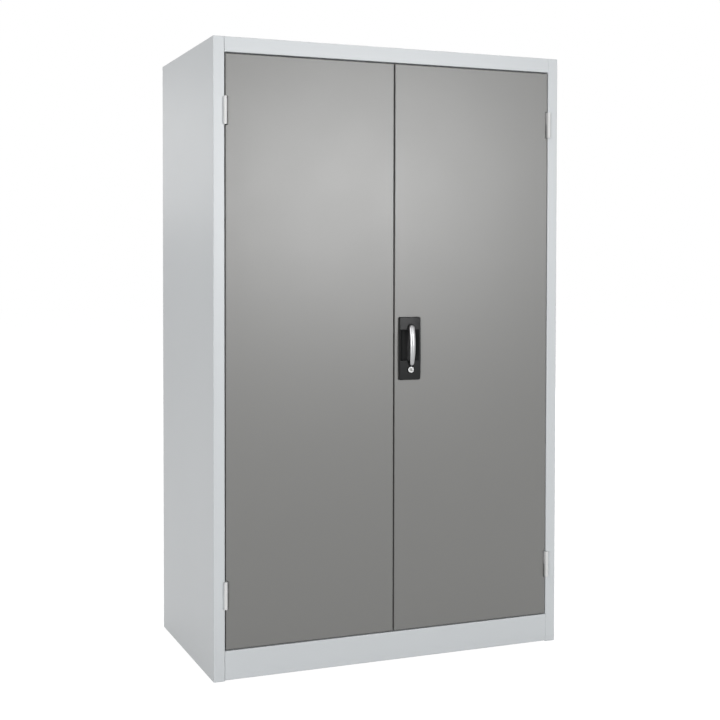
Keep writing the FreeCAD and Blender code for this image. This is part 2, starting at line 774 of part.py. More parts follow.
def finger_scoop():
    """Trough behind the lever, deepest a little left of the middle."""
    radius = ((SCOOP_WIDE / 2) ** 2 + SCOOP_DEEP**2) / (2 * SCOOP_DEEP)
    start = (HOUSING_X + SCOOP_SHIFT, HOUSING_FACE - radius + SCOOP_DEEP, SCOOP_LOW)
    return rod_along((0, 0, 1), radius, start, SCOOP_HIGH - SCOOP_LOW)


def handle_frame():
    """Clamping frame behind the door skin."""
    y = (DOOR_SKIN_BACK, DOOR_SKIN_BACK + CLAMP_SHEET)
    z = (HOUSING_LOW - CLAMP_MARGIN, HOUSING_HIGH + CLAMP_MARGIN)
    return block(span(HOUSING_X, CLAMP_WIDE / 2), y, z).cut(body_cutter(*y))


def level_polygon(centre, radius, count):
    """Regular face across Y, such as a screw's hexagon."""
    corners = []
    for turn in range(count + 1):
        angle = 2 * math.pi * turn / count
        corners.append(Vector(*centre) + Vector(math.cos(angle), 0, math.sin(angle)) * radius)
    return Part.Face(Part.makePolygon(corners))


def handle_screws():
    """Hexagon head screws from inside the door into the housing."""
    screws = []
    under_head = DOOR_SKIN_BACK + CLAMP_SHEET
    for x, z in handle_screw_places():
        shank = rod_along((0, -1, 0), SCREW_RADIUS, (x, under_head, z), SCREW_LONG)
        outline = level_polygon((x, under_head, z), SCREW_HEAD, 6)
        screws.append(joined([shank, outline.extrude(Vector(0, SCREW_HEAD_TALL, 0))]))
    return Part.makeCompound(screws)


def arc_depth(points, z):
    """Depth at a height on the arc through three (y, z) points."""
    arc = Part.Arc(*[Vector(0, depth, height) for depth, height in points]).toShape().Curve
    return arc.Center.y - math.sqrt(arc.Radius**2 - (z - arc.Center.z) ** 2)


def lever_front(z):
    """Front line of the lever in the side view."""
    head = (FRONT - LEVER_HEAD_REACH, LEVER_Z + LEVER_RADIUS)
    crown = (FRONT - HANDLE_REACH, LEVER_BOW_Z)
    return arc_depth([head, crown, (FRONT - LEVER_TIP_REACH, LEVER_TIP)], z)


def lever_back(z):
    """Back line: hollow between the tip and the foot, flat on the housing above it."""
    rest = HOUSING_FACE - LEVER_SEAT
    if z >= LEVER_FOOT_Z:
        return rest
    crown = (FRONT - HANDLE_REACH + LEVER_BOW_THICK, LEVER_BOW_Z)
    return arc_depth([(rest, LEVER_FOOT_Z), crown, (FRONT - LEVER_TIP_BACK, LEVER_TIP)], z)


def lever_half(z):
    """Half width: round head, slight swell, narrow round tip."""
    tip = LEVER_TIP + LEVER_TIP_HALF
    if z > LEVER_Z:
        return math.sqrt(LEVER_RADIUS**2 - (z - LEVER_Z) ** 2)
    if z < tip:
        return math.sqrt(LEVER_TIP_HALF**2 - (tip - z) ** 2)
    end, half = (LEVER_Z, LEVER_RADIUS) if z > LEVER_BOW_Z else (tip, LEVER_TIP_HALF)
    share = (z - LEVER_BOW_Z) / (end - LEVER_BOW_Z)
    return LEVER_BOW_HALF + (half - LEVER_BOW_HALF) * share**2


def lever_heights():
    """Heights of the lever's sections, closer together round its ends."""
    tip = LEVER_TIP + LEVER_TIP_HALF
    turns = [math.sin(math.radians(angle)) for angle in (80, 45, 0)]
    heights = [tip - LEVER_TIP_HALF * turn for turn in turns]
    heights += [tip + (LEVER_FOOT_Z - tip) * step / LEVER_SPANS for step in range(1, LEVER_SPANS + 1)]
    return heights + [LEVER_Z + LEVER_RADIUS * turn for turn in reversed(turns)]


def lever_section(z):
    """Level section of the lever: flat back and sides, domed front."""
    half = lever_half(z)
    front = lever_front(z)
    back = lever_back(z)
    edge = front + LEVER_DOME - math.sqrt(LEVER_DOME**2 - half**2)
    left, right = (HANDLE_X - half, HANDLE_X + half)
    corners = [Vector(right, edge, z), Vector(right, back, z), Vector(left, back, z), Vector(left, edge, z)]
    dome = Part.Arc(corners[3], Vector(HANDLE_X, front, z), corners[0]).toShape()
    runs = [Part.LineSegment(a, b).toShape() for a, b in zip(corners, corners[1:])]
    return Part.Wire([dome] + runs)


def handle_lever():
    """Cast lever with a bore for its spindle."""
    lever = Part.makeLoft([lever_section(z) for z in lever_heights()], True, True)
    start = (HANDLE_X, SPINDLE_FRONT, LEVER_Z)
    return lever.cut(rod_along((0, 1, 0), SPINDLE_RADIUS, start, HANDLE_REACH))


def spindle():
    """Round spindle from the lever to the rotor."""
    start = (HANDLE_X, SPINDLE_FRONT, LEVER_Z)
    return rod_along((0, 1, 0), SPINDLE_RADIUS, start, ROTOR_BACK - SPINDLE_FRONT)


def pin_places():
    """Rotor pins with the lever down: one up to the left, one down to the right."""
    step = PIN_CIRCLE / math.sqrt(2)
    return [(HANDLE_X - step, LEVER_Z + step), (HANDLE_X + step, LEVER_Z - step)]


def rotor():
    """Eight-sided plate on the spindle with a pin for each rod."""
    front = ROTOR_BACK - ROTOR_THICK
    plate = level_polygon((HANDLE_X, front, LEVER_Z), ROTOR_RADIUS, 8)
    plate = plate.extrude(Vector(0, ROTOR_THICK, 0))
    reach = ROD_BACK - front + BODY_FIT
    pins = [rod_along((0, 1, 0), PIN_RADIUS, (x, front, z), reach) for x, z in pin_places()]
    bore = rod_along((0, 1, 0), SPINDLE_RADIUS, (HANDLE_X, front, LEVER_Z), ROTOR_THICK)
    return joined([plate] + pins).cut(bore)


def rod_plate(x, z):
    """End of a rod: a plate with a level slot round its pin."""
    deep = (ROD_FRONT, ROD_BACK)
    plate = block(span(x, ROD_PLATE_HALF), deep, span(z, ROD_PLATE_RISE))
    through = (ROD_FRONT - PLUG_OUT, ROD_BACK + PLUG_OUT)
    slot = block(span(x, ROD_SLOT_HALF), through, span(z, PIN_RADIUS + ROD_SLOT_PLAY))
    return plate.cut(slot)


def rod(x, pin_height, tip):
    """Flat rod from the rotor to its tip in the frame."""
    turn = math.copysign(1, tip - pin_height)
    root = pin_height + turn * (ROD_PLATE_RISE - 1)
    bar = block(span(x, ROD_WIDE / 2), (ROD_FRONT, ROD_BACK), (root, tip))
    return joined([rod_plate(x, pin_height), bar])


def upper_rod():
    """Rod thrown up into the top rail."""
    return rod(HANDLE_X - ROD_OFFSET, pin_places()[0][1], OPENING_TOP - ROD_TIP_GAP)


def lower_rod():
    """Rod thrown down into the plinth."""
    return rod(HANDLE_X + ROD_OFFSET, pin_places()[1][1], PLINTH + ROD_TIP_GAP)


def rod_guide(x, z):
    """Moulded guide on the door skin round a rod."""
    back = ROD_BACK + KEEPER_MARGIN
    body = block(span(x, GUIDE_HALF), (DOOR_SKIN_BACK, back), span(z, GUIDE_HALF))
    deep = (ROD_FRONT - CLEAR, ROD_BACK + CLEAR)
    return body.cut(block(span(x, ROD_WIDE / 2 + CLEAR), deep, span(z, GUIDE_HALF + 1)))


def rod_guides():
    """Three guides to each rod."""
    guides = [rod_guide(HANDLE_X - ROD_OFFSET, z) for z in GUIDE_HEIGHTS_ABOVE]
    guides += [rod_guide(HANDLE_X + ROD_OFFSET, z) for z in GUIDE_HEIGHTS_BELOW]
    return Part.makeCompound(guides)


# Lock


def lock_cylinder():
    """Fixed cylinder with its front ring."""
    front = HOUSING_FACE - LOCK_RING_PROUD
    ring = rod_along((0, 1, 0), LOCK_RING_RADIUS, (HANDLE_X, front, LOCK_Z), LOCK_RING_PROUD)
    rim = [e for e in ring.Edges if e.BoundBox.YMax < front + 0.1]
    ring = ring.makeChamfer(LOCK_RING_BEVEL, rim)
    length = HOUSING_BACK - HOUSING_FACE + BODY_FIT
    barrel = rod_along((0, 1, 0), LOCK_RADIUS, (HANDLE_X, HOUSING_FACE, LOCK_Z), length)
    bore = hole_through(HANDLE_X, LOCK_Z, PLUG_RADIUS + RUNNING, front, HOUSING_BACK)
    return joined([ring, barrel]).cut(bore)


def plug_back():
    return HOUSING_BACK + BODY_FIT + CLEAR


def lock_plug():
    """Turning plug with its keyway."""
    front = HOUSING_FACE - LOCK_RING_PROUD + PLUG_SET_BACK
    plug = rod_along((0, 1, 0), PLUG_RADIUS, (HANDLE_X, front, LOCK_Z), plug_back() - front)
    wide, tall, deep = KEYWAY
    keyway = block(span(HANDLE_X, wide / 2), (front - 1, front + deep), span(LOCK_Z, tall / 2))
    return plug.cut(keyway)


def lock_tongue():
    """Tongue on the rear of the plug that blocks the lower rod."""
    wide, thick, tall = TONGUE
    y = (plug_back(), plug_back() + thick)
    low = LOCK_Z - PLUG_RADIUS + 1
    return block(span(HANDLE_X, wide / 2), y, (low, low + tall))


# Small parts


def door_buffers():
    """Rubber pads on the side stop flanges."""
    thick = STOP_FACE - DOOR_BACK - CLEAR
    buffers = []
    for z in BUFFER_HEIGHTS:
        x = span(-OPENING + STOP / 2, BUFFER_WIDE / 2)
        buffer = block(x, (STOP_FACE - thick, STOP_FACE), span(z, BUFFER_TALL / 2))
        buffers += [buffer, mirrored(buffer)]
    return Part.makeCompound(buffers)


def catch_lows():
    """Lower edges of the two magnets, under the head and on the floor."""
    return [OPENING_TOP - STOP - CATCH_TALL, FLOOR]


def magnet_catches():
    """Magnets that hold the left door, the upper with a foot behind the stop flange."""
    x = span(CATCH_X, CATCH_WIDE / 2)
    face = DOOR_BACK + DOOR_SHEET + CLEAR
    back = face + CATCH_DEEP
    upper, lower = catch_lows()
    head = block(x, (face, back), (upper, upper + CATCH_TALL))
    tab = block(x, (STOP_FACE + SHEET, back), (upper, upper + CATCH_TALL + CATCH_FOOT))
    sill = block(x, (face, back), (lower, lower + CATCH_TALL))
    return Part.makeCompound([joined([head, tab]), sill])


def catch_strikes():
    """Steel strikes on the back of the left door."""
    x = span(CATCH_X, CATCH_WIDE / 2)
    y = (DOOR_BACK, DOOR_BACK + DOOR_SHEET)
    return Part.makeCompound([block(x, y, (low, low + CATCH_TALL)) for low in catch_lows()])


def carcass_pieces():
    """The welded box."""
    left = side_panel()
    right = mirrored(left)
    walls = Part.makeCompound([left, right])
    return {
        "side_panel_left": left,
        "side_panel_right": right,
        "top_rail": top_rail(),
        "top_panel": between_walls(lid(), walls),
        "plinth_rail": plinth_rail(),
        "rear_plinth": between_walls(rear_plinth(), walls),
        "floor_panel": between_walls(floor_panel(), walls),
        "back_panel": back_panel(),
        "foot_plates": foot_plates(),
    }


def inside_pieces():
    """Uprights, shelves and drawers."""
    pieces = {"shelf_brackets": shelf_brackets()}
    for name, y in zip(("front", "rear"), UPRIGHT_CENTRES):
        pieces["upright_left_" + name] = upright(y)
        pieces["upright_right_" + name] = mirrored(upright(y))
    for index, number in enumerate(SHELF_SLOTS, 1):
        pieces[f"shelf_{index}"] = shelf(number)
    pieces["drawer_cheek_left"] = drawer_cheek()
    pieces["drawer_cheek_right"] = mirrored(drawer_cheek())
    pieces["drawer_pulls"] = Part.makeCompound([drawer_pull(n) for n in range(DRAWER_COUNT)])
    pieces["drawer_slides_fixed"] = fixed_slides()
    pieces["drawer_slides_moving"] = moving_slides()
    for number in range(DRAWER_COUNT):
        pieces[f"drawer_{number + 1}_tray"] = drawer_tray(number)
        pieces[f"drawer_{number + 1}_front"] = drawer_front(number)
    return pieces


def door_pieces():
    """Both leaves with their hinges, catches and buffers."""
    pieces = {
        "door_left": left_door_pan(),
        "door_left_stiffener": door_stiffener(),
        "door_left_cover_strip": cover_strip(),
        "door_right": right_door_pan(),
        "door_right_stiffener": mirrored(door_stiffener()),
        "door_buffers": door_buffers(),
        "magnet_catches": magnet_catches(),
        "catch_strikes": catch_strikes(),
        "hinge_pins": hinge_pins(),
    }
    for name, centre in zip(("lower", "upper"), HINGE_CENTRES):
        pieces[f"hinge_left_{name}_frame_half"] = hinge_frame_half(centre)
        pieces[f"hinge_left_{name}_door_half"] = hinge_door_half(centre)
        pieces[f"hinge_right_{name}_frame_half"] = mirrored(hinge_frame_half(centre))
        pieces[f"hinge_right_{name}_door_half"] = mirrored(hinge_door_half(centre))
    return pieces


def lock_pieces():
    """Handle unit, rods and lock on the right leaf."""
    return {
        "handle_housing": handle_housing(),
        "handle_frame": handle_frame(),
        "handle_screws": handle_screws(),
        "handle_lever": handle_lever(),
        "handle_spindle": spindle(),
        "handle_rotor": rotor(),
        "lock_rod_upper": upper_rod(),
        "lock_rod_lower": lower_rod(),
        "rod_guides": rod_guides(),
        "lock_cylinder": lock_cylinder(),
        "lock_plug": lock_plug(),
        "lock_tongue": lock_tongue(),
    }


for group in (carcass_pieces(), inside_pieces(), door_pieces(), lock_pieces()):
    for node, shape in group.items():
        shape.exportStep(f"parts/{node}.step")
        print(node, "valid" if shape.isValid() else "NOT VALID", len(shape.Solids))
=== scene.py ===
import math
import bmesh
import bpy
from mathutils import Matrix, Vector


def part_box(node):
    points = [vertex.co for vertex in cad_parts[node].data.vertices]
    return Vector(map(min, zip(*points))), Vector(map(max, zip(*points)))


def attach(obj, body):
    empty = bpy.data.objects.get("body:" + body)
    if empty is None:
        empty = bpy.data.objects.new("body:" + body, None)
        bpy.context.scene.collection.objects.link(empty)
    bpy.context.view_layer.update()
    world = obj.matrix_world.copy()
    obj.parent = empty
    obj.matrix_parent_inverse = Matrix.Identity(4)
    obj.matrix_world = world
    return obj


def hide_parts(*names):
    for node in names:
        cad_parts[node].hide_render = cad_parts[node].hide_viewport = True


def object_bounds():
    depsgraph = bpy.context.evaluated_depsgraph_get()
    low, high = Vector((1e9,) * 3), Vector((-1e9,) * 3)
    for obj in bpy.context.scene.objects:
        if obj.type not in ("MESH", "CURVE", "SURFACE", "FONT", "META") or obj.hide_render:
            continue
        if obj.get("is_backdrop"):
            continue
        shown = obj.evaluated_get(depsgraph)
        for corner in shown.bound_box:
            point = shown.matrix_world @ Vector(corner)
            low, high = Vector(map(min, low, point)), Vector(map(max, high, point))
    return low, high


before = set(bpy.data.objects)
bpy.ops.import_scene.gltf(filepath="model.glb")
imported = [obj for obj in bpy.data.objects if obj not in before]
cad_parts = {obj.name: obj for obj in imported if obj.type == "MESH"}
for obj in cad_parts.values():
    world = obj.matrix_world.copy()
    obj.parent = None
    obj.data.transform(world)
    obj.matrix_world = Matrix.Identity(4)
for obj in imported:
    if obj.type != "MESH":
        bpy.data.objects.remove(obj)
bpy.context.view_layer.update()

# Camera: it stands left of the cupboard at chest height and looks nearly level.
# The lens is shifted down and aside, so that uprights stay upright as on the photograph.
PICTURE_PIXELS = 720
FOCAL_PIXELS = 1180.0
SENSOR_WIDE = 36.0
EYE = Vector((-1.6373, -3.6768, 1.2572))
TURN_RIGHT = math.radians(20.019)
LOOK_DOWN = math.radians(1.355)

lens = bpy.data.cameras.new("photo_view")
lens.sensor_width = SENSOR_WIDE
lens.lens = SENSOR_WIDE * FOCAL_PIXELS / PICTURE_PIXELS
lens.shift_x = 0.1174
lens.shift_y = -0.09
camera = bpy.data.objects.new("photo_view", lens)
heading = Matrix.Rotation(-TURN_RIGHT, 4, "Z")
pitch = Matrix.Rotation(math.pi / 2 - LOOK_DOWN, 4, "X")
camera.matrix_world = Matrix.Translation(EYE) @ heading @ pitch
bpy.context.scene.collection.objects.link(camera)
bpy.context.scene.camera = camera
bpy.context.scene.view_settings.view_transform = "Standard"


# Room: a pale floor under a white surround, with large soft boxes at a plain level.
# Camera, gloss and glass see the surround as white; only matt surfaces see the dimmer fill.
FILL_LIGHT = 0.30
FLOOR_GLOW = 0.94
FLOOR_HALF = 30.0
FLOOR_BOUNCE = 0.45
AIM = Vector((0.0, 0.0, 1.05))


def place(tree, kind, inputs=(), **settings):
    """Adds one shader node. Each input is a value or another node's output."""
    node = tree.nodes.new("ShaderNode" + kind)
    for name, value in settings.items():
        setattr(node, name, value)
    for name, value in dict(inputs).items():
        if isinstance(value, bpy.types.NodeSocket):
            tree.links.new(value, node.inputs[name])
        else:
            node.inputs[name].default_value = value
    return node


def seen_directly(tree):
    """One for rays from the camera, a gloss or a glass, zero for the rest."""
    rays = place(tree, "LightPath").outputs
    either = place(tree, "Math", {0: rays["Is Camera Ray"], 1: rays["Is Glossy Ray"]}, operation="MAXIMUM")
    parts = {0: either.outputs[0], 1: rays["Is Transmission Ray"]}
    return place(tree, "Math", parts, operation="MAXIMUM").outputs[0]


surround = bpy.data.worlds.new("white_surround")
bpy.context.scene.world = surround
surround.use_nodes = True
surround.node_tree.nodes.clear()
fill = place(surround.node_tree, "Background", {"Color": (1, 1, 1, 1), "Strength": FILL_LIGHT})
white = place(surround.node_tree, "Background", {"Color": (1, 1, 1, 1), "Strength": 1.0})
sky = {0: seen_directly(surround.node_tree), 1: fill.outputs[0], 2: white.outputs[0]}
sky = place(surround.node_tree, "MixShader", sky)
place(surround.node_tree, "OutputWorld", {"Surface": sky.outputs[0]})

floor_paint = bpy.data.materials.new("pale_floor")
floor_paint.use_nodes = True
floor_tree = floor_paint.node_tree
floor_tree.nodes.clear()
bounce = place(floor_tree, "BsdfDiffuse", {"Color": (FLOOR_BOUNCE,) * 3 + (1,)})
matt = place(floor_tree, "BsdfDiffuse", {"Color": (0.2, 0.2, 0.2, 1)})
glow = place(floor_tree, "Emission", {"Color": (1, 1, 1, 1), "Strength": FLOOR_GLOW})
bright = place(floor_tree, "AddShader", {0: matt.outputs[0], 1: glow.outputs[0]})
mixed = {0: seen_directly(floor_tree), 1: bounce.outputs[0], 2: bright.outputs[0]}
mixed = place(floor_tree, "MixShader", mixed)
place(floor_tree, "OutputMaterial", {"Surface": mixed.outputs[0]})

floor_mesh = bpy.data.meshes.new("studio_floor")
corners = [(x * FLOOR_HALF, y * FLOOR_HALF, 0) for x, y in ((-1, -1), (1, -1), (1, 1), (-1, 1))]
floor_mesh.from_pydata(corners, [], [(0, 1, 2, 3)])
floor_mesh.materials.append(floor_paint)
floor = bpy.data.objects.new("studio_floor", floor_mesh)
bpy.context.scene.collection.objects.link(floor)
floor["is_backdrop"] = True

for name, spot, wide, tall, watts in (
    ("key_box", (4.78, -12.0, 2.45), 3.4, 1.6, 515),
    ("fill_box", (-6.0, -7.0, 2.2), 4.0, 4.0, 410),
    ("side_box", (-3.2, 9.5, 2.6), 1.6, 1.6, 14),
    ("back_box", (5.0, 6.5, 3.0), 3.0, 3.0, 260),
    ("top_box", (0.2, 0.6, 7.5), 2.0, 2.0, 300),
):
    panel = bpy.data.lights.new(name, "AREA")
    panel.shape = "RECTANGLE"
    panel.size = wide
    panel.size_y = tall
    panel.energy = watts
    lamp = bpy.data.objects.new(name, panel)
    lamp.location = spot
    lamp.rotation_euler = (AIM - Vector(spot)).to_track_quat("-Z", "Y").to_euler()
    bpy.context.scene.collection.objects.link(lamp)


# Carcass: side panels, rails, lid, floor and rear wall of 1.5 mm sheet steel.
# They are folded, spot-welded together and powder-coated light grey in one go.
CARCASS_GREY = (0.570, 0.594, 0.610)
CARCASS_GLOSS = 0.335
CARCASS_SHINE = 0.45
COAT_EDGE = 0.0012


def new_group(name, inputs, outputs):
    """Empty shader group with its sockets, and its input and output nodes."""
    group = bpy.data.node_groups.new(name, "ShaderNodeTree")
    for label, kind, value in inputs:
        socket = group.interface.new_socket(label, in_out="INPUT", socket_type="NodeSocket" + kind)
        socket.default_value = value
    for label, kind in outputs:
        group.interface.new_socket(label, in_out="OUTPUT", socket_type="NodeSocket" + kind)
    return group, group.nodes.new("NodeGroupInput").outputs


def scaled_noise(tree, scale, detail, stretch=(1, 1, 1)):
    """Noise fixed to the piece, in its own metres."""
    spot = place(tree, "TexCoord").outputs["Object"]
    spot = place(tree, "Mapping", {"Vector": spot, "Scale": stretch}).outputs[0]
    return place(tree, "TexNoise", {"Vector": spot, "Scale": scale, "Detail": detail}).outputs["Fac"]


def spread(tree, value, low, high, source=(0.3, 0.7)):
    """A 0 to 1 pattern brought to another range."""
    ends = {"Value": value, "From Min": source[0], "From Max": source[1], "To Min": low, "To Max": high}
    return place(tree, "MapRange", ends).outputs[0]


# Group for every powder coat: tone that drifts slowly, fine speck, orange peel, softened edges, and edges painted
# a little lighter, partly as a thinner coat there and partly as a painted highlight.
powder_coat, given = new_group(
    "powder_coat",
    [("Paint", "Color", (0.5, 0.5, 0.5, 1)), ("Drift", "Float", 0.02), ("Gloss", "Float", 0.4), ("Edge", "Float", 0.001)],
    [("Colour", "Color"), ("Roughness", "Float"), ("Height", "Float"), ("Normal", "Vector")],
)
drift = spread(powder_coat, scaled_noise(powder_coat, 1.7, 3), -1, 1)
speck = spread(powder_coat, scaled_noise(powder_coat, 900, 1), -0.35, 0.35)
uneven = place(powder_coat, "Math", {0: drift, 1: speck}, operation="ADD").outputs[0]
soft = place(powder_coat, "Bevel", {"Radius": given["Edge"]}, samples=6).outputs[0]
flat = place(powder_coat, "NewGeometry").outputs["Normal"]
along = place(powder_coat, "VectorMath", {0: soft, 1: flat}, operation="DOT_PRODUCT").outputs["Value"]
# Edges lighter: partly a thinner coat, partly a painted highlight where bends catch the light; Drift scales it
# with the tone.
thin_coat_and_edge_highlight = spread(powder_coat, along, 2.2, 0.0, (0.86, 0.995))
lift = place(powder_coat, "Math", {0: uneven, 1: thin_coat_and_edge_highlight}, operation="ADD").outputs[0]
lift = place(powder_coat, "Math", {0: lift, 1: given["Drift"], 2: 1.0}, operation="MULTIPLY_ADD").outputs[0]
tone = place(powder_coat, "VectorMath", {0: given["Paint"], "Scale": lift}, operation="SCALE").outputs[0]
rub = spread(powder_coat, scaled_noise(powder_coat, 9, 4), -0.006, 0.006)
rough = place(powder_coat, "Math", {0: given["Gloss"], 1: rub}, operation="ADD").outputs[0]
peel = scaled_noise(powder_coat, 420, 2)
ends = powder_coat.nodes.new("NodeGroupOutput")
for label, value in (("Colour", tone), ("Roughness", rough), ("Height", peel), ("Normal", soft)):
    powder_coat.links.new(value, ends.inputs[label])


def blank_material(name):
    """Material with an empty tree."""
    made = bpy.data.materials.new(name)
    made.use_nodes = True
    made.node_tree.nodes.clear()
    return made, made.node_tree


def close_material(tree, skin, peel_deep, shader):
    """Principled surface from a group's outputs, with its grain as a bump."""
    bump = {"Height": skin["Height"], "Distance": peel_deep, "Normal": skin["Normal"]}
    normal = place(tree, "Bump", bump).outputs[0]
    inputs = {"Base Color": skin["Colour"], "Roughness": skin["Roughness"], "Normal": normal}
    surface = place(tree, "BsdfPrincipled", {**inputs, **shader})
    place(tree, "OutputMaterial", {"Surface": surface.outputs[0]})


def powder_coated(name, colour, gloss, shine, drift=0.006, edge=COAT_EDGE):
    """Powder-coated steel of one colour."""
    made, tree = blank_material(name)
    values = {"Paint": (*colour, 1), "Drift": drift, "Gloss": gloss, "Edge": edge}
    skin = place(tree, "Group", values, node_tree=powder_coat).outputs
    close_material(tree, skin, 0.00002, {"Specular IOR Level": shine})
    return made


def dress(names, material):
    """Gives CAD pieces their finish."""
    for name in names:
        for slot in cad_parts[name].material_slots:
            slot.material = material


carcass_coat = powder_coated("light_grey_powder_coat", CARCASS_GREY, CARCASS_GLOSS, CARCASS_SHINE)
dress(["side_panel_left", "side_panel_right", "top_rail", "top_panel"], carcass_coat)
dress(["plinth_rail", "rear_plinth", "floor_panel", "back_panel", "foot_plates"], carcass_coat)


# Uprights and shelves: slotted channels welded to the side walls, four shelves with turned-in edges.
# Both wear the carcass paint; the brackets that hook into the slots are bright zinc.
ZINC = (0.30, 0.305, 0.315)

zinc_skin, given = new_group(
    "zinc_skin",
    [("Metal", "Color", (0.6, 0.6, 0.6, 1)), ("Grain", "Float", 160.0), ("Edge", "Float", 0.0005)],
    [("Colour", "Color"), ("Roughness", "Float"), ("Height", "Float"), ("Normal", "Vector")],
)
spot = place(zinc_skin, "TexCoord").outputs["Object"]
crystal = place(zinc_skin, "TexVoronoi", {"Vector": spot, "Scale": given["Grain"]}).outputs["Color"]
crystal = place(zinc_skin, "SeparateColor", {"Color": crystal}).outputs[0]
shade = spread(zinc_skin, crystal, 0.90, 1.08, (0, 1))
tone = place(zinc_skin, "VectorMath", {0: given["Metal"], "Scale": shade}, operation="SCALE").outputs[0]
rough = spread(zinc_skin, crystal, 0.42, 0.54, (0, 1))
soft = place(zinc_skin, "Bevel", {"Radius": given["Edge"]}, samples=6).outputs[0]
ends = zinc_skin.nodes.new("NodeGroupOutput")
grain = scaled_noise(zinc_skin, 700, 2)
for label, value in (("Colour", tone), ("Roughness", rough), ("Height", grain), ("Normal", soft)):
    zinc_skin.links.new(value, ends.inputs[label])


def zinc_plated(name, grain):
    """Zinc-plated steel with crystals of a given fineness."""
    made, tree = blank_material(name)
    skin = place(tree, "Group", {"Metal": (*ZINC, 1), "Grain": grain}, node_tree=zinc_skin).outputs
    close_material(tree, skin, 0.00003, {"Metallic": 1.0})
    return made


dress([f"upright_{side}_{end}" for side in ("left", "right") for end in ("front", "rear")], carcass_coat)
dress([f"shelf_{number}" for number in (1, 2, 3, 4)], carcass_coat)
bright_zinc = zinc_plated("bright_zinc", 160.0)
dress(["shelf_brackets"], bright_zinc)


# Drawers: trays and folded fronts in the carcass grey, on slide channels between two cheeks.
# The channels are galvanised strip, with larger crystals than the plated small parts.
dress(["drawer_cheek_left", "drawer_cheek_right"], carcass_coat)
dress([f"drawer_{number}_{part}" for number in (1, 2, 3) for part in ("tray", "front")], carcass_coat)
galvanised = zinc_plated("galvanised_strip", 70.0)
dress(["drawer_slides_fixed", "drawer_slides_moving"], galvanised)


# Drawer pulls: an extruded aluminium grip along each front, natural anodised.
# A blank card sits behind a clear strip on the lip, and black caps close the ends.
ALUMINIUM = (0.40, 0.402, 0.405)
ALUMINIUM_GLOSS = 0.44
CARD_LONG = 0.10
CARD_TALL = 0.008
CARD_THICK = 0.0004
CARD_DROP = 0.0075
COVER_THICK = 0.001
COVER_MARGIN = 0.002
CAP_THICK = 0.0015
CAP_ROUND = 0.0012
PULL_TALL = 0.030

extruded_skin, given = new_group(
    "extruded_skin",
    [("Metal", "Color", (0.6, 0.6, 0.6, 1)), ("Gloss", "Float", 0.3)],
    [("Colour", "Color"), ("Roughness", "Float"), ("Height", "Float"), ("Normal", "Vector")],
)
streak = scaled_noise(extruded_skin, 900, 2, (0.02, 1, 1))
shade = spread(extruded_skin, streak, 0.95, 1.05)
tone = place(extruded_skin, "VectorMath", {0: given["Metal"], "Scale": shade}, operation="SCALE").outputs[0]
swing = spread(extruded_skin, streak, -0.05, 0.05)
rough = place(extruded_skin, "Math", {0: given["Gloss"], 1: swing}, operation="ADD").outputs[0]
soft = place(extruded_skin, "Bevel", {"Radius": 0.0004}, samples=6).outputs[0]
ends = extruded_skin.nodes.new("NodeGroupOutput")
for label, value in (("Colour", tone), ("Roughness", rough), ("Height", streak), ("Normal", soft)):
    extruded_skin.links.new(value, ends.inputs[label])

anodised, tree = blank_material("anodised_aluminium")
skin = place(tree, "Group", {"Metal": (*ALUMINIUM, 1), "Gloss": ALUMINIUM_GLOSS}, node_tree=extruded_skin).outputs
close_material(tree, skin, 0.00002, {"Metallic": 1.0})
dress(["drawer_pulls"], anodised)


def solid(name, shell, crease=0.6):
    """Object from a finished mesh, smooth except across sharp creases."""
    bmesh.ops.recalc_face_normals(shell, faces=shell.faces)
    for face in shell.faces:
        face.smooth = True
    for edge in shell.edges:
        if len(edge.link_faces) == 2:
            edge.smooth = edge.calc_face_angle() < crease
    mesh = bpy.data.meshes.new(name)
    shell.to_mesh(mesh)
    shell.free()
    made = bpy.data.objects.new(name, mesh)
    bpy.context.scene.collection.objects.link(made)
    return made


def soft_block(shell, low, high, edge):
    """Adds a block with rounded edges to a mesh."""
    size = [upper - lower for lower, upper in zip(low, high)]
    middle = [(upper + lower) / 2 for lower, upper in zip(low, high)]
    matrix = Matrix.Translation(middle) @ Matrix.Diagonal((*size, 1))
    corners = bmesh.ops.create_cube(shell, size=1, matrix=matrix)["verts"]
    edges = {rim for corner in corners for rim in corner.link_edges}
    bmesh.ops.bevel(shell, geom=list(edges), offset=edge, segments=3, affect="EDGES", profile=0.5)


card_paper, tree = blank_material("blank_card")
fibre = scaled_noise(tree, 1800, 4)
shade = spread(tree, fibre, 0.66, 0.72)
tone = place(tree, "CombineColor", {0: shade, 1: shade, 2: spread(tree, fibre, 0.62, 0.68)}).outputs[0]
nap = place(tree, "Bump", {"Height": fibre, "Distance": 0.00003}).outputs[0]
paper = place(tree, "BsdfPrincipled", {"Base Color": tone, "Roughness": 0.85, "Normal": nap})
place(tree, "OutputMaterial", {"Surface": paper.outputs[0]})

clear_strip, tree = blank_material("clear_strip")
wipe = spread(tree, scaled_noise(tree, 60, 3, (0.2, 1, 1)), 0.08, 0.16)
clear = {"Base Color": (0.8, 0.8, 0.8, 1), "Roughness": wipe, "Alpha": 0.16}
clear = place(tree, "BsdfPrincipled", clear)
place(tree, "OutputMaterial", {"Surface": clear.outputs[0]})

cap_plastic, tree = blank_material("cap_plastic")
pit = scaled_noise(tree, 1500, 3)
black = spread(tree, scaled_noise(tree, 40, 3), 0.017, 0.021)
black = place(tree, "CombineColor", {0: black, 1: black, 2: black}).outputs[0]
fine = place(tree, "Bump", {"Height": pit, "Distance": 0.00003}).outputs[0]
black = {"Base Color": black, "Roughness": spread(tree, pit, 0.46, 0.54), "Normal": fine}
black = place(tree, "BsdfPrincipled", {**black, "Specular IOR Level": 0.3})
place(tree, "OutputMaterial", {"Surface": black.outputs[0]})

